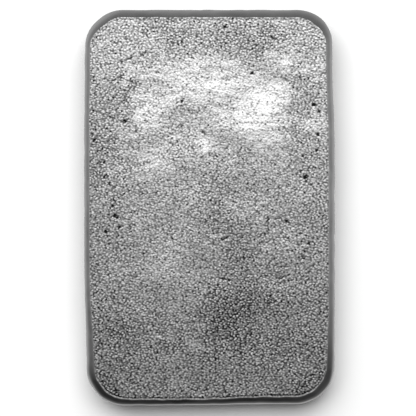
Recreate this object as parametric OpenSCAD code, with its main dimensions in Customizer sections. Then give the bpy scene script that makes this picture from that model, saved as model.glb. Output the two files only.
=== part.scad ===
// Poured silver ingot: one solid casting, lying on its mould face with the poured face up.
// Millimetres. The origin is the centre of the underside; X is the width, Y the length, Z up.

/* [Overall] */
// Width across the brim, the widest line round the bar
width = 50; // [30:0.5:80]
// Length across the brim
length = 79; // [40:0.5:130]
// Height from the underside to the rim of the poured face
thickness = 7.8; // [5:0.1:15]
// Radius of the four upright corners, at the brim
corner_r = 7.6; // [4:0.1:12]

/* [Mould] */
// Lean of the walls, which lets the bar drop out of its mould
draft_deg = 4; // [1:0.5:10]
// Radius between the walls and the underside
foot_r = 1; // [0.3:0.1:1.5]

/* [Poured face] */
// Radius of the shoulder that the metal draws itself into as it freezes
shoulder_r = 1.55; // [0.8:0.05:2]
// Slope of the shoulder where it meets the rim
shoulder_end_deg = 15; // [0:1:30]
// Width of the flat rim round the poured face
rim_w = 0.25; // [0.1:0.05:0.6]
// Width of the slope from the rim down to the poured face
rim_slope_w = 0.2; // [0.1:0.05:0.6]
// Depth of the poured face below the rim, from shrinkage
face_sink = 0.1; // [0.05:0.05:0.5]

/* [Hidden] */
$fn = 96;
// Chords in each of the section's two arcs
arc_steps = 8;

// The section is drawn outwards from a corner's upright axis, at x = 0, to the brim, at x = corner_r.
shoulder_x = corner_r - shoulder_r;
shoulder_z = thickness - shoulder_r * cos(shoulder_end_deg);
rim_x = shoulder_x + shoulder_r * sin(shoulder_end_deg);
face_z = thickness - face_sink;
// The wall is tangent to both radii, so its lean over this height sets how far in the foot lies.
wall_h = shoulder_z - foot_r - (shoulder_r - foot_r) * sin(draft_deg);
foot_x = shoulder_x + (shoulder_r - foot_r) * cos(draft_deg) - wall_h * tan(draft_deg);
// The straight stretches between the corners
straight_x = width - 2 * corner_r;
straight_y = length - 2 * corner_r;

// Evenly spaced angles from one to another
function sweep(from_deg, to_deg) =
    [for (step = [0 : arc_steps]) from_deg + (to_deg - from_deg) * step / arc_steps];

// The points at these angles on a circle about (x, y)
function arc(x, y, r, angles) = [for (angle = angles) [x + r * cos(angle), y + r * sin(angle)]];

// The bar's edge in section: underside, foot, wall, shoulder, rim, and the slope down to the poured face
module edge_section() {
    polygon([
        [0, 0],
        each arc(foot_x, foot_r, foot_r, sweep(-90, -draft_deg)),
        each arc(shoulder_x, shoulder_z, shoulder_r, [-draft_deg, each sweep(0, 90 - shoulder_end_deg)]),
        [rim_x - rim_w, thickness],
        [rim_x - rim_w - rim_slope_w, face_z],
        [0, face_z],
    ]);
}

// One upright corner: the section turned through a quarter about its axis
module corner() {
    rotate_extrude(angle = 90) edge_section();
}

// A straight edge between two corners: the section drawn along Y, facing +X
module straight_edge(run) {
    translate([0, run / 2, 0]) rotate([90, 0, 0]) linear_extrude(run) edge_section();
}

// The casting: a flat middle, four straight edges and four corners
module ingot() {
    color([0.74, 0.74, 0.73]) union() {
        translate([-straight_x / 2, -straight_y / 2, 0]) cube([straight_x, straight_y, face_z]);
        for (side = [0, 180]) {
            rotate(side) translate([straight_x / 2, 0, 0]) straight_edge(straight_y);
            rotate(side + 90) translate([straight_y / 2, 0, 0]) straight_edge(straight_x);
        }
        for (mirror_x = [0, 1], mirror_y = [0, 1])
            mirror([mirror_x, 0, 0]) mirror([0, mirror_y, 0])
                translate([straight_x / 2, straight_y / 2, 0]) corner();
    }
}

ingot();
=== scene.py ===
import math

import bpy
import numpy as np
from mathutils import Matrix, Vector


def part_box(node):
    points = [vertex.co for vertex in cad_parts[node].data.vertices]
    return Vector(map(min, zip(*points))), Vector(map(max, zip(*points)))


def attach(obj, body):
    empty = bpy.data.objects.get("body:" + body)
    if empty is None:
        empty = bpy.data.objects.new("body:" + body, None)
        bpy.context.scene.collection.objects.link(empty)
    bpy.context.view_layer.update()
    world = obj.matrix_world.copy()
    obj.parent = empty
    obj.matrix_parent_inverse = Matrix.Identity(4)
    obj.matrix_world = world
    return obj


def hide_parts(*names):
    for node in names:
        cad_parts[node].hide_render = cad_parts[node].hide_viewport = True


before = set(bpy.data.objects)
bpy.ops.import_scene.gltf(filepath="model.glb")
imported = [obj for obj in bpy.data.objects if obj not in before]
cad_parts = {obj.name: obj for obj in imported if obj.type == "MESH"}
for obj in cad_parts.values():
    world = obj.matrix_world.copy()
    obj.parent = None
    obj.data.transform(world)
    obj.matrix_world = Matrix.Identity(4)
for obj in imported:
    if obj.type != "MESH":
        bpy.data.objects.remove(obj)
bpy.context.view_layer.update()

low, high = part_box("ingot")

MM = 0.001

# The bar's section, in millimetres
HALF_WIDTH = (high.x - low.x) / 2 / MM
HALF_LENGTH = (high.y - low.y) / 2 / MM
RIM_HEIGHT = high.z / MM
CORNER_RADIUS = 7.6
WALL_LEAN = math.radians(4)
FOOT_RADIUS = 1.0
# How far the poured face lies below the rim, then the rim's width, its slope's and its crest's
FACE_SINK = 0.04
RIM_WIDTH = 0.15
RIM_SLOPE = 0.3
CREST = 0.03
# How far the rim lies inside the brim, before each side's own share
RIM_INSET = 1.2
# Slope of the shoulder where it leaves the rim, in degrees, and its drop as a share of a true arc's
SHOULDER_START = 42
SHOULDER_DROP = 0.72
# Heights of the relief: fine grain and pebbles on the face, its long waves, and the lumps of the walls
GRAIN_HEIGHT = 0.011
PEBBLE_HEIGHT = 0.008
WAVE_HEIGHT = 0.03
WALL_LUMP_HEIGHT = 0.03
# How far apart the finish's grains, crystals and pinholes lie, and the height of its bump
GRAIN_PITCH = 0.56
CRYSTAL_PITCH = 0.54
PINHOLE_PITCH = 1.3
BUMP = 0.02

# Middle tone of the poured face, from black at 0 to white at 1, and how strongly the grain stands out from it
FACE_TONE = 0.622
GRAIN_CONTRAST = 1.6

# Quads across and along the poured face, rows of quads round the edge, and how much coarser the underside is
ACROSS = 208
ALONG = 336
SHOULDER_ROWS = 8
WALL_ROWS = 5
FOOT_ROWS = 3
UNDERSIDE_STEP = 4

# Marks on the poured face, in millimetres from its middle: gas pits as x, y, radius and depth
PITS = [
    (3.1, 36, 0.28, 0.1), (-16.9, 17.2, 0.34, 0.14), (-23, 13.4, 0.27, 0.1), (-21, 9, 0.27, 0.1),
    (-21, 6, 0.26, 0.1), (-20, 4.8, 0.27, 0.1), (-19.3, 0.3, 0.28, 0.12), (-18.9, -1.6, 0.36, 0.14),
    (-18.5, -2, 0.27, 0.1), (-18, -4, 0.26, 0.1), (-20.7, -4.8, 0.31, 0.12), (-17.5, -6, 0.25, 0.08),
    (-1.3, 15, 0.27, 0.1), (-5.5, 21.2, 0.27, 0.09), (8.5, 26.8, 0.28, 0.1), (20.8, 20.5, 0.33, 0.14),
    (21.8, 19.2, 0.28, 0.1), (21.6, 14.6, 0.31, 0.12), (21.4, 11.4, 0.28, 0.1), (18.6, 10.2, 0.25, 0.08),
    (18.2, 7.2, 0.26, 0.08), (19.1, 6, 0.38, 0.16), (19.3, 5.2, 0.25, 0.1), (15.4, -2.8, 0.28, 0.12),
    (19.8, -7.2, 0.3, 0.12), (18.8, -10.1, 0.26, 0.08),
]
# Scratches and the short laps where the skin folded, as x and y at each end, width, and depth or minus height
MARKS = [
    (11.6, -2.3, 11.6, -5.3, 0.14, 0.05), (11.7, 5.5, 11.6, 2.5, 0.13, 0.02),
    (1.1, -26, 1.2, -33.5, 0.14, 0.028), (12.1, -17.3, 12.1, -19.3, 0.14, 0.045),
    (-21.9, -26.3, -21.3, -28.1, 0.16, 0.05), (-19.1, -35.5, -18.5, -36.9, 0.16, 0.05),
    (-16.3, -34.1, -14.1, -35.5, 0.16, 0.05), (-0.7, 4.6, -0.1, 3.5, 0.2, -0.05),
    (-11.1, -25.1, -9.7, -26.3, 0.2, -0.05), (2.5, 25.7, 5.5, 25.9, 0.16, 0.04),
    (3.7, 16.6, 12.5, 17, 0.16, 0.012), (-19.7, 25, -17.3, 26.4, 0.16, 0.05),
    (-18.3, 28.8, -15.5, 29.9, 0.16, 0.05), (-13.9, 30.2, -12.3, 31, 0.16, 0.05),
    (12.3, 34.2, 13.1, 33.4, 0.18, 0.06), (14.3, 26, 15.4, 25.3, 0.18, 0.06),
    (2.6, -6.5, 3.6, -5.9, 0.2, 0.06), (1.9, -14, 4.2, -14.6, 0.18, 0.05),
    (13.6, -14.2, 15.2, -13.7, 0.18, 0.05),
]
# Where the metal froze last and lies calm, smoother and leaning back, with a painted highlight in its colour,
# and where it is dull, rougher and darker in colour, which is partly painted shade; as x, y, radii across and
# along, and strength
CALM_AND_HIGHLIGHT = [
    (10.5, 19.5, 5, 7, 0.9), (14.5, 23, 3.5, 3, 0.45), (2.5, 24.5, 5.5, 3.5, 0.74),
    (-8.5, 26.6, 5, 2.5, 0.56), (-1, 29, 3, 2, 0.45), (-7, 22.5, 4, 3, 0.4), (-6, 16.5, 4, 2, 0.35),
    (-13, 18, 3, 6, 0.6), (2.5, 16.5, 5, 3.5, 0.4), (-0.8, 12.6, 1.7, 2, 1.1), (-10.5, 9, 4, 3, 0.45),
    (12.5, 13.2, 2.8, 3, 0.6), (14.5, 29, 2.6, 2.2, 0.8), (22, 17.5, 1.5, 2.5, 0.5), (-8, -14, 7, 7, 0.28),
    (-6, -19, 2, 2, 0.4), (-5, -27, 3, 3, 0.3), (-5, -33, 3, 2, 0.3),
]
DULL_AND_SHADE = [
    (2, 35, 25, 2.5, 0.25), (-23.5, 12, 2, 26, 0.35), (8, 33.5, 9, 3, 0.5), (-9.5, 35.5, 3.5, 2, 0.4),
    (-7, 32, 2.2, 2.6, 0.5), (9.5, 30, 2.5, 2.5, 0.4), (17, 17, 2.5, 6, 0.4), (17.2, 25.5, 1.4, 1.6, 0.8),
    (20, 22, 3, 3, 0.5), (-17.5, 22.5, 2.2, 4.2, 0.7), (-21, 12, 4, 12, 0.4), (-5, 14.5, 2, 2, 0.4),
    (-17.5, -1, 2, 6, 0.4), (2, 2, 3, 8, 0.5), (21, 3, 3, 9, 0.4), (10, -18, 6, 3.5, 0.45),
    (6.5, -9, 3.5, 4, 0.5), (3.5, -22, 4.5, 5.5, 1.0), (-19, -25, 4, 5, 0.4), (-8.5, -27.5, 2, 2, 0.5),
    (-23, -37, 4, 4, 1.0), (22.5, -37.5, 3.5, 3.5, 1.2), (15, -28, 6, 4, 0.35),
]


def smooth_step(value, start, end):
    """0 before start, 1 after end, and the cubic 3t^2 - 2t^3 between them."""
    t = np.clip((value - start) / (end - start), 0, 1)
    return t * t * (3 - 2 * t)


def cast_relief(pitch, spread, seed, cell=0.1):
    """Winding lumps of one size, like those of a cast skin: white noise times a bell curve of its frequency
    about 1 / pitch, as wide as the spread, then divided by its standard deviation. Returns a function of x
    and y that samples it, blending the four nearest cells; it repeats past its edges."""
    columns = int(2 * HALF_WIDTH / cell) + 40
    rows = int(2 * HALF_LENGTH / cell) + 40
    white = np.random.default_rng(seed).standard_normal((rows, columns))
    frequency = np.hypot(np.fft.fftfreq(rows, cell)[:, None], np.fft.rfftfreq(columns, cell)[None, :])
    keep = np.exp(-0.5 * ((frequency * pitch - 1) / spread) ** 2)
    field = np.fft.irfft2(np.fft.rfft2(white) * keep, (rows, columns))
    field /= field.std()

    def sample(x, y):
        column = x / cell + columns / 2
        row = y / cell + rows / 2
        i, j = np.floor(column).astype(int), np.floor(row).astype(int)
        a, b = column - i, row - j
        i0, i1, j0, j1 = i % columns, (i + 1) % columns, j % rows, (j + 1) % rows
        return ((1 - b) * ((1 - a) * field[j0, i0] + a * field[j0, i1])
                + b * ((1 - a) * field[j1, i0] + a * field[j1, i1]))

    return sample


# Three reliefs that the functions below share, from the finest to the longest
grain = cast_relief(pitch=0.7, spread=0.25, seed=3)
pebbles = cast_relief(pitch=1.9, spread=0.35, seed=5)
swell = cast_relief(pitch=12, spread=0.4, seed=11, cell=0.5)


def patches(places, x, y):
    """The sum of soft round patches, each its strength times exp(-(dx/rx)^2 - (dy/ry)^2)."""
    return sum(s * np.exp(-((x - px) / rx) ** 2 - ((y - py) / ry) ** 2) for px, py, rx, ry, s in places)


def calm_tilt(x, y):
    """Each calm patch leans towards the back: its height falls along Y through its middle and returns to
    nothing at its edge, as -(dy) exp(-(dx/rx)^2 - (dy/ry)^2)."""
    return sum(-s * (y - py) * np.exp(-((x - px) / rx) ** 2 - ((y - py) / ry) ** 2)
               for px, py, rx, ry, s in CALM_AND_HIGHLIGHT)


def pits(x, y):
    """Depth of the gas pits, each a flat-bottomed bowl: its depth times exp(-(r/radius)^4)."""
    return sum(depth * np.exp(-(((x - px) ** 2 + (y - py) ** 2) / radius ** 2) ** 2)
               for px, py, radius, depth in PITS)


def marks(x, y):
    """Depth of the scratches and laps: each one's depth times exp(-(d/width)^2), where d is the distance to
    its segment."""
    total = np.zeros_like(x)
    for x0, y0, x1, y1, width, depth in MARKS:
        dx, dy = x1 - x0, y1 - y0
        t = np.clip(((x - x0) * dx + (y - y0) * dy) / (dx * dx + dy * dy), 0, 1)
        total += depth * np.exp(-((x - x0 - t * dx) ** 2 + (y - y0 - t * dy) ** 2) / width ** 2)
    return total


def brim_loop():
    """The brim seen from above, counter-clockwise from the middle of the front left corner: four sides,
    each a straight between two eighths of a circle, with points evenly spaced by length. Returns points and
    outward normals."""
    points, normals = [], []
    straight_x, straight_y = HALF_WIDTH - CORNER_RADIUS, HALF_LENGTH - CORNER_RADIUS
    eighth = CORNER_RADIUS * math.pi / 4
    for side, count in enumerate((ACROSS, ALONG, ACROSS, ALONG)):
        along, out = (straight_x, straight_y) if side % 2 == 0 else (straight_y, straight_x)
        run = np.arange(count) / count * 2 * (along + eighth) - along - eighth
        angle = np.sign(run) * np.clip(np.abs(run) - along, 0, None) / CORNER_RADIUS
        turn = (side - 1) * math.pi / 2
        out_way = np.array([math.cos(turn), math.sin(turn)])
        along_way = np.array([-math.sin(turn), math.cos(turn)])
        normal = np.sin(angle)[:, None] * along_way + np.cos(angle)[:, None] * out_way
        on_straight = np.clip(run, -along, along)[:, None] * along_way + out * out_way
        points.append(on_straight + CORNER_RADIUS * normal)
        normals.append(normal)
    return np.concatenate(points), np.concatenate(normals)


def by_side(normal, left, right, front, back):
    """The sum of the four sides' values, each times how far the outward normal points to that side."""
    x, y = normal.T
    return (np.clip(-x, 0, 1) * left + np.clip(x, 0, 1) * right
            + np.clip(-y, 0, 1) * front + np.clip(y, 0, 1) * back)


def corner_share(normal):
    """1 at the middle of each corner and 0 along the sides: the square of the sine of twice the normal's
    angle."""
    return (2 * normal[:, 0] * normal[:, 1]) ** 2


def side_bow(point, normal):
    """How far the cooled bar's brim stands out of a true rectangle. Smooth steps along each side take the
    left wall in towards both ends, most at the front, the right wall in towards the back, and the front in
    towards the right. The back stands out evenly, and the back right corner is fuller than the others."""
    x, y = point.T
    left = 0.1 - 0.45 * smooth_step(-y, 8, 34) - 0.15 * smooth_step(y, 12, 34)
    right = 0.1 - 0.5 * smooth_step(y, 12, 29)
    front = 0.2 - 0.25 * smooth_step(x, -20, 20)
    corner = 0.45 * smooth_step(x, 0, 10) * smooth_step(y, 0, 10) * corner_share(normal)
    return by_side(normal, left, right, front, 0.22) + corner


def rim_inset(point, normal):
    """How far the rim lies inside the brim: the same all round, plus smooth steps that widen both sides
    towards the front, the front towards its ends and its right, and the back along its whole length, with
    more at its corners, less a narrow stretch of the left side, and a slow wander."""
    x, y = point.T
    left = 0.5 * smooth_step(-y, 14, 34) - 0.08 * np.exp(-((y - 18) / 12) ** 2)
    right = 0.15 + 0.4 * smooth_step(-y, 18, 36)
    front = 0.12 + 0.25 * smooth_step(np.abs(x + 6), 3, 18) + 0.14 * smooth_step(x, 0, 10)
    back = 0.6 * smooth_step(normal[:, 1], 0.2, 1) + 0.3 * (normal[:, 1] > 0) * corner_share(normal)
    wander = 0.03 * pebbles(x / 2, y / 2) + 0.01 * pebbles(y, x)
    return RIM_INSET + by_side(normal, left, right, front, 0) + back + wander


def filled(ring, across, along):
    """A grid filling a closed ring of four sides: each point blends the two sides across it and the two
    along it, less the blend of the four corners."""
    turns = np.cumsum([0, across, along, across])
    closed = np.concatenate([ring, ring[:1]])
    front = closed[turns[0]:turns[1] + 1]
    right = closed[turns[1]:turns[2] + 1]
    back = closed[turns[2]:turns[3] + 1][::-1]
    left = closed[turns[3]:][::-1]
    u = np.linspace(0, 1, across + 1)[None, :, None]
    v = np.linspace(0, 1, along + 1)[:, None, None]
    sides = (1 - v) * front[None] + v * back[None] + (1 - u) * left[:, None] + u * right[:, None]
    ends = (1 - v) * ((1 - u) * front[0] + u * front[-1]) + v * ((1 - u) * back[0] + u * back[-1])
    return sides - ends


def border(index):
    """The indices round the edge of a grid: its front, right, back and left, the order of the ring that it
    fills."""
    return np.concatenate([index[0, :-1], index[:-1, -1], index[-1, :0:-1], index[:0:-1, 0]])


def grid_faces(index):
    """Quads of a grid of indices, each with its next neighbours along the row and the column. They face up
    when the rows run along +X and follow each other along +Y."""
    return np.stack([index[:-1, :-1], index[:-1, 1:], index[1:, 1:], index[1:, :-1]], -1).reshape(-1, 4)


def ring_faces(inner, outer):
    """Quads between two rings, each joining a point and the next one on both. They face outwards when the
    second ring follows the first one outwards over the edge."""
    return np.stack([inner, outer, np.roll(outer, -1), np.roll(inner, -1)], -1)


def hem_faces(hem, ring):
    """Faces between the last ring and the underside's coarser edge, the hem, facing down: each joins a
    point and the next one on the hem to the stretch of the ring beside them."""
    stretch = [np.roll(ring, -k)[::UNDERSIDE_STEP] for k in range(UNDERSIDE_STEP + 1)]
    return np.stack([hem, *stretch, np.roll(hem, -1)], -1)[:, ::-1]


def section(point, normal):
    """The bar's edge, as rows from the poured face over the rim and down to the underside. Each row is how
    far it lies inside the brim, how high it is, how far it counts as poured face, from 0 to 1, and how much
    painted shade it gets. The face rises over a slope to the level rim. The shoulder is an arc from its first
    slope to upright, stretched to the inset and the drop: cosines of the angle give its height and sines
    how far out it is. Below the brim the wall leans in to the foot's quarter circle. The painted shade
    darkens the colour where the edge shows dark reflections and shade: on the slope inside the rim at the
    front, a little along the rim at the sides, on the upper shoulder at the front and on the sides towards
    the front, and at the very top of the shoulder at the back."""
    y = point[:, 1]
    inset = rim_inset(point, normal)
    back = smooth_step(normal[:, 1], -0.3, 0.8)
    front = smooth_step(-normal[:, 1], -0.1, 0.8)
    sides = 1 - front - back
    rows = []

    sink = FACE_SINK * (1 - 0.3 * front - 0.1 * back)
    # Each rim row: how far further inside the brim, what share of the sink it lies below the rim, how far it
    # counts as poured face, and how much painted shade it gets at the front
    rim = ((RIM_WIDTH + RIM_SLOPE, 1, 1, 0.45), (RIM_WIDTH + RIM_SLOPE / 2, 0.6, 1, 0.6),
           (RIM_WIDTH, 0.1, 0.75, 0.1), (CREST, 0, 0.45, 0), (0, 0, 0.4, 0))
    for across, down, on_face, rim_shade in rim:
        # Painted shade on the slope inside the rim at the front, and a little along the rim at the sides
        painted_shade = rim_shade * front + 0.18 * sides * (1 - 0.8 * down)
        rows.append((inset + across, RIM_HEIGHT - sink * down, 1 - (1 - on_face) * front, painted_shade))

    first = np.radians(SHOULDER_START + 4 * back)
    drop = SHOULDER_DROP * inset * np.cos(first) / (1 - np.sin(first))
    # How much painted shade the sides get towards the front, with more on the right near the front end
    toward_front = 0.45 * (1 - smooth_step(y, -36, 12))
    toward_front += (0.3 + 0.15 * normal[:, 0]) * (1 - smooth_step(y, -34, -16))
    # The first row is close below the rim, so that the shading bends sharply there
    for part in [0.03, *np.linspace(0, 1, SHOULDER_ROWS + 1)[1:]]:
        angle = first + (math.pi / 2 - first) * part
        out = (np.sin(angle) - np.sin(first)) / (1 - np.sin(first))
        # Painted shade standing in for the dark reflections on the upper shoulder at the front and the sides
        # towards the front, then on the very top of the back shoulder
        painted_shade = (0.6 * front + toward_front) * (1 - smooth_step(out, 0.64, 0.9))
        painted_shade = painted_shade + 0.7 * back * (1 - out) ** 3
        rows.append((inset * (1 - out), RIM_HEIGHT - drop * (1 - np.cos(angle) / np.cos(first)), 0, painted_shade))

    brim = RIM_HEIGHT - drop
    foot_top = FOOT_RADIUS * (1 - math.sin(WALL_LEAN))
    for part in np.linspace(0, 1, WALL_ROWS + 1)[1:]:
        z = brim + (foot_top - brim) * part
        rows.append(((brim - z) * math.tan(WALL_LEAN), z, 0, 0))
    foot_inset = (brim - foot_top) * math.tan(WALL_LEAN)
    for angle in np.linspace(WALL_LEAN, math.pi / 2, FOOT_ROWS + 1)[1:]:
        across = FOOT_RADIUS * (math.cos(WALL_LEAN) - math.cos(angle))
        rows.append((foot_inset + across, np.full_like(brim, FOOT_RADIUS * (1 - math.sin(angle))), 0, 0))
    return rows


def edge_rings(point, normal, rows):
    """The section's rows carried round the bar: the brim moved inwards by each row's inset, at its height.
    The wall stands in and out in long lumps, which fade away over 2 mm towards the rim and the
    underside."""
    rings = []
    for inset, z, _, _ in rows:
        x, y = (point - normal * inset[:, None]).T
        wall = smooth_step(z, 0, 2) * smooth_step(RIM_HEIGHT - z, 0, 2)
        lumps = WALL_LUMP_HEIGHT * wall * pebbles((x + 0.7 * z) / 3, (y - 1.3 * z) / 3)
        rings.append(np.column_stack([x + lumps * normal[:, 0], y + lumps * normal[:, 1], z]))
    return rings


def inside(x, y):
    """How far a point lies inside the nearest side of the brim."""
    return np.minimum(HALF_WIDTH - np.abs(x), HALF_LENGTH - np.abs(y))


def poured_face(edge):
    """The poured face as a grid filling the rim's inner ring, with its dullness, its painted light and how
    hollow each point is. Its height is the ring's, plus the relief, less the pits and marks. The relief is
    fine grain and pebbles, half as high where the metal lies calm, plus long waves and the calm patches'
    lean;
    it gives way to faint grain near the rim. The patches' outlines wander with the pebbles. Dull patches less
    calm ones, plus a step towards the front, give its dullness and painted light: the higher it is, the
    rougher the metal and the darker its colour, which in the dull patches is partly painted shade and in the
    step is painted shade on the front half; in the calm patches it falls below nought, and their lighter
    colour is a painted highlight."""
    face = filled(edge, ACROSS, ALONG)
    x, y = face[..., 0], face[..., 1]
    streaky = pebbles(x * 0.3, y)
    x_way, y_way = x + 1.2 * pebbles(y * 0.4, x * 0.4), y + 0.7 * streaky
    calm_and_highlight = np.clip(patches(CALM_AND_HIGHLIGHT, x_way, y_way) * (1 + 0.3 * streaky), 0, 1)
    # Dullness and painted light: dull patches make the metal rougher and its colour darker, partly painted
    # shade; the step paints shade on the front half; calm patches fall below nought and get a painted
    # highlight
    dull_and_painted_light = np.clip(patches(DULL_AND_SHADE, x_way, y_way) - calm_and_highlight + 0.5 * smooth_step(-y, -4, 30), -1, 1.5)
    hollow = pits(x, y) + marks(x, y)
    fine = grain(x, y)
    relief = (1 - 0.5 * calm_and_highlight) * (GRAIN_HEIGHT * fine + PEBBLE_HEIGHT * pebbles(x, y))
    relief += WAVE_HEIGHT * swell(x, y) + 0.04 * calm_tilt(x, y)
    near_rim = 1 - smooth_step(inside(x, y), 1.5, 6)
    face[..., 2] += (1 - near_rim) * relief + near_rim * 0.008 * fine - hollow
    return face, dull_and_painted_light, hollow


def underside(edge, normal):
    """The underside as a coarser grid filling a hem 0.5 mm inside the last ring. Shallow dimples, 0.02 mm
    times one plus the pebbles, rise into it from 2.5 to 6 mm inside the brim."""
    step = UNDERSIDE_STEP
    hem = edge[::step] - np.column_stack([0.5 * normal[::step], np.zeros(len(edge) // step)])
    under = filled(hem, ACROSS // step, ALONG // step)
    x, y = under[..., 0], under[..., 1]
    under[..., 2] = 0.02 * smooth_step(inside(x, y), 2.5, 6) * np.clip(1 + pebbles(x / 2, y / 2), 0, 2)
    return under


def cast_ingot():
    """The whole bar as one closed surface: the poured face, the edge carried round it in rings, and the
    underside. Its attributes say where it is poured face, how far it is dulled and how much painted light its
    colour gets, and how far painted shade darkens it along the edge and in the hollows, or lightens it on the
    proud laps."""
    point, normal = brim_loop()
    point = point + normal * side_bow(point, normal)[:, None]
    rows = section(point, normal)
    rings = edge_rings(point, normal, rows)
    face, face_dull_and_light, hollow = poured_face(rings[0])
    under = underside(rings[-1], normal)
    positions = np.concatenate([face.reshape(-1, 3), *rings[1:], under.reshape(-1, 3)])

    face_index = np.arange(face[..., 0].size).reshape(face.shape[:2])
    ring_index = face_index.size + np.arange(len(point) * (len(rings) - 1)).reshape(-1, len(point))
    under_index = ring_index[-1, -1] + 1 + np.arange(under[..., 0].size).reshape(under.shape[:2])
    ring_index = [border(face_index), *ring_index]
    faces = grid_faces(face_index).tolist()
    for inner, outer in zip(ring_index[:-1], ring_index[1:]):
        faces += ring_faces(inner, outer).tolist()
    faces += grid_faces(under_index)[:, ::-1].tolist()
    faces += hem_faces(border(under_index), ring_index[-1]).tolist()

    on_face, dull_and_painted_light, dark = np.zeros((3, len(positions)))
    on_face[face_index] = 1
    dull_and_painted_light[face_index] = face_dull_and_light
    for index, (_, _, on, painted_shade) in zip(ring_index, rows):
        on_face[index] = on
        dark[index] = painted_shade
    # Painted shade in the pits and scratches, darker the deeper they are, and painted light on the laps that
    # stand proud
    dark[face_index] += np.clip(10 * hollow, -0.3, 1)

    mesh = bpy.data.meshes.new("cast_ingot")
    mesh.from_pydata((positions * MM).tolist(), [], faces)
    mesh.polygons.foreach_set("use_smooth", np.ones(len(mesh.polygons), bool))
    for name, values in (("on_face", on_face), ("dull_and_painted_light", dull_and_painted_light), ("dark", dark)):
        attribute = mesh.attributes.new(name, "FLOAT", "POINT")
        attribute.data.foreach_set("value", values.astype(np.float32))
    mesh.update()
    piece = bpy.data.objects.new("cast_ingot", mesh)
    bpy.context.scene.collection.objects.link(piece)
    return piece


class Finish:
    """A material's node tree, with short ways to add a node and join it up."""

    def __init__(self, name):
        self.material = bpy.data.materials.new(name)
        self.material.use_nodes = True
        self.tree = self.material.node_tree
        self.shader = self.tree.nodes["Principled BSDF"]

    def node(self, kind, settings=(), **inputs):
        """A node of that kind; inputs are constants or other nodes' outputs, by socket name."""
        made = self.tree.nodes.new("ShaderNode" + kind)
        for name, value in settings:
            setattr(made, name, value)
        for name, value in inputs.items():
            self.set(made, name.replace("_", " "), value)
        return made

    def set(self, made, name, value):
        """Join a node's output to a socket, or set the socket to a constant."""
        socket = made.inputs[int(name) if name.isdigit() else name]
        if isinstance(value, bpy.types.NodeSocket):
            self.tree.links.new(value, socket)
        else:
            socket.default_value = value

    def math(self, operation, a, b):
        """The sum, difference, product or power of two values."""
        made = self.tree.nodes.new("ShaderNodeMath")
        made.operation = operation
        self.set(made, "0", a)
        self.set(made, "1", b)
        return made.outputs[0]

    def attribute(self, name):
        """The mesh's own value of that name."""
        return self.node("Attribute", [("attribute_name", name)]).outputs["Fac"]

    def noise(self, pitch, detail, place):
        """Soft noise from 0 to 1, whose lumps are about that many millimetres apart."""
        scale = 1 / (pitch * 0.66 * MM)
        return self.node("TexNoise", Scale=scale, Detail=detail, Roughness=0.5, Vector=place).outputs["Fac"]

    def spread(self, value, from_low, from_high, to_low, to_high):
        """The value moved from one range to another along a straight line, and held at its ends."""
        made = self.tree.nodes.new("ShaderNodeMapRange")
        for name, number in (("Value", value), ("From Min", from_low), ("From Max", from_high),
                             ("To Min", to_low), ("To Max", to_high)):
            self.set(made, name, number)
        return made.outputs[0]


def silver_grains(finish, place):
    """The grain of the poured face: lumps of one size, and over them separate crystals. The lumps are soft
    noise on a lattice turned in space, less 0.27 of itself at three points round about. A crystal is a
    round spot that falls off straight from its middle, times its own random brightness. Both are stretched
    a little across the bar."""
    stretched = finish.node("Mapping", Scale=(0.87, 1.13, 1), Vector=place).outputs[0]

    def lumps_at(across, along):
        lattice = finish.node("Mapping", [("vector_type", "TEXTURE")], Rotation=(0.6, 0.4, 0.65),
                              Location=(across * MM, along * MM, 0), Vector=stretched).outputs[0]
        return finish.noise(GRAIN_PITCH, 0.0, lattice)

    lumps = lumps_at(0, 0)
    for across, along in ((0.32, 0.1), (-0.25, 0.23), (-0.07, -0.33)):
        lumps = finish.math("SUBTRACT", lumps, finish.math("MULTIPLY", lumps_at(across, along), 0.27))
    turned = finish.node("Mapping", Rotation=(0, 0, 0.5), Vector=stretched).outputs[0]
    crystals = finish.node("TexVoronoi", [("voronoi_dimensions", "2D")], Scale=1 / (CRYSTAL_PITCH * MM),
                           Randomness=0.8, Vector=turned)
    random = finish.node("SeparateColor", Color=crystals.outputs["Color"]).outputs["Red"]
    spots = finish.math("MULTIPLY", finish.spread(crystals.outputs["Distance"], 0.05, 0.5, 0.6, -0.4),
                        finish.spread(random, 0, 1, 0.17, 0.44))
    return finish.math("ADD", finish.math("MULTIPLY", lumps, 0.45), spots)


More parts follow.
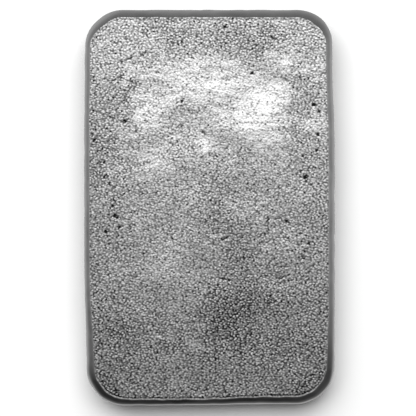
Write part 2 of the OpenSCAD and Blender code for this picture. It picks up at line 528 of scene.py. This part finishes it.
def poured_face_tone(finish, place, grains, dull_and_painted_light, dark, stain):
    """How bright the poured face's metal is, from 0 to 1: the grain, stronger where it is dulled, less the
    pinholes and the painted shade of the hollows and the rim, plus painted light on the proud laps, plus
    streaks across the bar where it is calm, plus a tone that falls as it gets duller and a wide faint stain.
    The calm patches' lighter tone and streaks are a painted highlight; the darker tone is partly painted
    shade in the dull patches and painted shade outright on the front half. It is summed as the eye judges
    tones, then raised to the power 2.2 for the light it reflects."""
    contrast = finish.spread(dull_and_painted_light, -1, 1.5, GRAIN_CONTRAST * 0.5, GRAIN_CONTRAST * 1.25)
    tone = finish.math("MULTIPLY", grains, contrast)
    pinholes = finish.node("TexVoronoi", [("voronoi_dimensions", "2D")], Scale=1 / (PINHOLE_PITCH * MM),
                           Vector=place).outputs["Distance"]
    tone = finish.math("SUBTRACT", tone, finish.spread(pinholes, 0.09, 0.2, 0.3, 0))
    # Painted shade: the hollows and the rim darker, the proud laps lighter
    tone = finish.math("SUBTRACT", tone, finish.math("MULTIPLY", dark, 0.75))
    streaks = finish.noise(1.1, 1.0, finish.node("Mapping", Scale=(0.4, 1, 1), Vector=place).outputs[0])
    # The streaks are stronger where it is calm, part of the painted highlight
    streaks = finish.math("MULTIPLY", streaks, finish.spread(dull_and_painted_light, -1, 1, 0.42, 0.18))
    tone = finish.math("ADD", tone, streaks)
    # Painted highlight in the calm patches, and a darker colour in the dull patches and the front half,
    # partly painted shade
    tone = finish.math("ADD", tone, finish.spread(dull_and_painted_light, -1, 1.5, FACE_TONE + 0.16, FACE_TONE - 0.24))
    tone = finish.math("ADD", tone, finish.spread(stain, 0.3, 0.7, -0.03, 0.03))
    return finish.math("POWER", finish.spread(tone, 0.14, 0.98, 0.14, 0.98), 2.2)


def poured_silver():
    """Bare cast silver. The mesh's own values blend the poured face's grainy tone and satin gloss into the
    edge's plainer, glossier metal, which a wide stain varies and painted shade darkens. The bump follows the
    grain."""
    finish = Finish("poured_silver")
    place = finish.tree.nodes.new("ShaderNodeTexCoord").outputs["Object"]
    on_face = finish.attribute("on_face")
    dull_and_painted_light = finish.attribute("dull_and_painted_light")
    dark = finish.attribute("dark")
    stain = finish.noise(9, 3.0, place)
    grains = silver_grains(finish, place)

    def blended(edge, face):
        return finish.node("Mix", [("data_type", "FLOAT")], Factor=on_face, A=edge, B=face).outputs["Result"]

    edge_tone = finish.spread(stain, 0.3, 0.7, 0.72, 0.86)
    # Painted shade along the edge: the dark attribute darkens its colour down to a fifth
    edge_tone = finish.math("MULTIPLY", edge_tone, finish.spread(dark, 0, 1, 1, 0.2))
    tone = blended(edge_tone, poured_face_tone(finish, place, grains, dull_and_painted_light, dark, stain))
    colour = finish.node("CombineColor", Red=tone, Green=tone, Blue=tone)
    finish.set(finish.shader, "Base Color", colour.outputs[0])
    gloss = blended(finish.spread(stain, 0.3, 0.7, 0.26, 0.36), finish.spread(dull_and_painted_light, -1, 1, 0.3, 0.44))
    finish.set(finish.shader, "Roughness", gloss)
    finish.shader.inputs["Metallic"].default_value = 1.0
    relief = finish.math("MULTIPLY", grains, on_face)
    bump = finish.node("Bump", Strength=1.0, Distance=BUMP * MM, Height=relief)
    finish.set(finish.shader, "Normal", bump.outputs[0])
    return finish.material


def pale_floor():
    """A wide level card just under the bar, which doesn't show in the bar's reflections."""
    bpy.ops.mesh.primitive_plane_add(size=6)
    floor = bpy.context.object
    floor.name = "floor"
    finish = Finish("white_card")
    finish.shader.inputs["Base Color"].default_value = (0.3, 0.3, 0.3, 1)
    finish.shader.inputs["Roughness"].default_value = 0.9
    finish.shader.inputs["Specular IOR Level"].default_value = 0.1
    floor.data.materials.append(finish.material)
    floor.location.z = -0.02 * MM
    floor.visible_glossy = False
    return floor


def studio_world():
    """A soft room of greys, which change with bearing and height. From below upwards they are the ground, a
    horizon that is dark at the front, a pale tent and the cap over it. Each has its own tones from the
    front, -Y, round to the back, turned 20 degrees towards +X, and a smooth step in the sine of the height
    blends it into the next."""
    world = bpy.data.worlds.new("studio")
    bpy.context.scene.world = world
    world.use_nodes = True
    nodes, links = world.node_tree.nodes, world.node_tree.links
    direction = nodes.new("ShaderNodeTexCoord").outputs["Generated"]
    split = nodes.new("ShaderNodeSeparateXYZ")
    links.new(direction, split.inputs[0])
    to_back = nodes.new("ShaderNodeVectorMath")
    to_back.operation = "DOT_PRODUCT"
    to_back.inputs[1].default_value = (math.sin(math.radians(20)), math.cos(math.radians(20)), 0)
    links.new(direction, to_back.inputs[0])
    bearing = nodes.new("ShaderNodeMapRange")
    bearing.inputs["From Min"].default_value = -1
    links.new(to_back.outputs["Value"], bearing.inputs["Value"])

    def tones(*stops):
        """Tones by bearing, each stop from -1 at the front to 1 at the back."""
        ramp = nodes.new("ShaderNodeValToRGB")
        elements = ramp.color_ramp.elements
        for index, (stop, tone) in enumerate(stops):
            element = elements[index] if index < 2 else elements.new(1)
            element.position = (stop + 1) / 2
            element.color = (tone, tone, tone, 1)
        links.new(bearing.outputs[0], ramp.inputs[0])
        return ramp.outputs[0]

    def blend(below, above, from_deg, to_deg):
        """One tone below the first height and another above the second, with a smooth step between them."""
        rise = nodes.new("ShaderNodeMapRange")
        rise.interpolation_type = "SMOOTHSTEP"
        rise.inputs["From Min"].default_value = math.sin(math.radians(from_deg))
        rise.inputs["From Max"].default_value = math.sin(math.radians(to_deg))
        links.new(split.outputs["Z"], rise.inputs["Value"])
        mix = nodes.new("ShaderNodeMix")
        mix.data_type = "RGBA"
        links.new(rise.outputs[0], mix.inputs["Factor"])
        links.new(below, mix.inputs["A"])
        links.new(above, mix.inputs["B"])
        return mix.outputs["Result"]

    ground = tones((-1, 0.45), (-0.34, 0.42), (0.34, 0.42), (1, 0.2))
    horizon = tones((-1, 0.04), (-0.7, 0.08), (-0.34, 0.24), (0.34, 0.24), (1, 0.17))
    tent = tones((-1, 0.8), (-0.34, 0.65), (1, 0.65))
    cap = tones((-1, 0.05), (1, 0.3))
    room = blend(blend(blend(ground, horizon, -25, -8), tent, 12, 28), cap, 50, 68)
    links.new(room, nodes["Background"].inputs["Color"])


def softbox(name, tilt, turn, distance, size, power, subject):
    """A soft light aimed at the bar that lights only its subject. Tilt is its angle from straight above and
    turn its bearing from +Y towards +X, so its place is their unit vector times its distance."""
    data = bpy.data.lights.new(name, "AREA")
    data.shape = "RECTANGLE"
    data.size, data.size_y = size
    data.energy = power
    light = bpy.data.objects.new(name, data)
    tilt, turn = math.radians(tilt), math.radians(turn)
    aim = Vector((math.sin(tilt) * math.sin(turn), math.sin(tilt) * math.cos(turn), math.cos(tilt)))
    light.location = aim * distance
    light.rotation_euler = aim.to_track_quat("Z", "Y").to_euler()
    bpy.context.scene.collection.objects.link(light)
    light.visible_camera = False
    receivers = bpy.data.collections.new(name + "_subject")
    receivers.objects.link(subject)
    light.light_linking.receiver_collection = receivers


def overhead_camera():
    """A camera looking straight down, whose view is 83 mm wide at the rim: lens over sensor is distance
    over view."""
    distance = 0.4
    view_width = 0.083
    data = bpy.data.cameras.new("overhead")
    data.sensor_width = 36
    data.lens = data.sensor_width * distance / view_width
    camera = bpy.data.objects.new("overhead", data)
    camera.location = (-0.0003, -0.0001, high.z + distance)
    bpy.context.scene.collection.objects.link(camera)
    bpy.context.scene.camera = camera


overhead_camera()
ingot = cast_ingot()
ingot.data.materials.append(poured_silver())
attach(ingot, "root")
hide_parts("ingot")
floor = pale_floor()
studio_world()
softbox("key", tilt=23, turn=-3, distance=0.47, size=(0.4, 0.3), power=0.57, subject=ingot)
softbox("overhead", tilt=32, turn=-10, distance=1.2, size=(1.7, 1.2), power=76, subject=floor)
bpy.context.scene.view_settings.view_transform = "Standard"
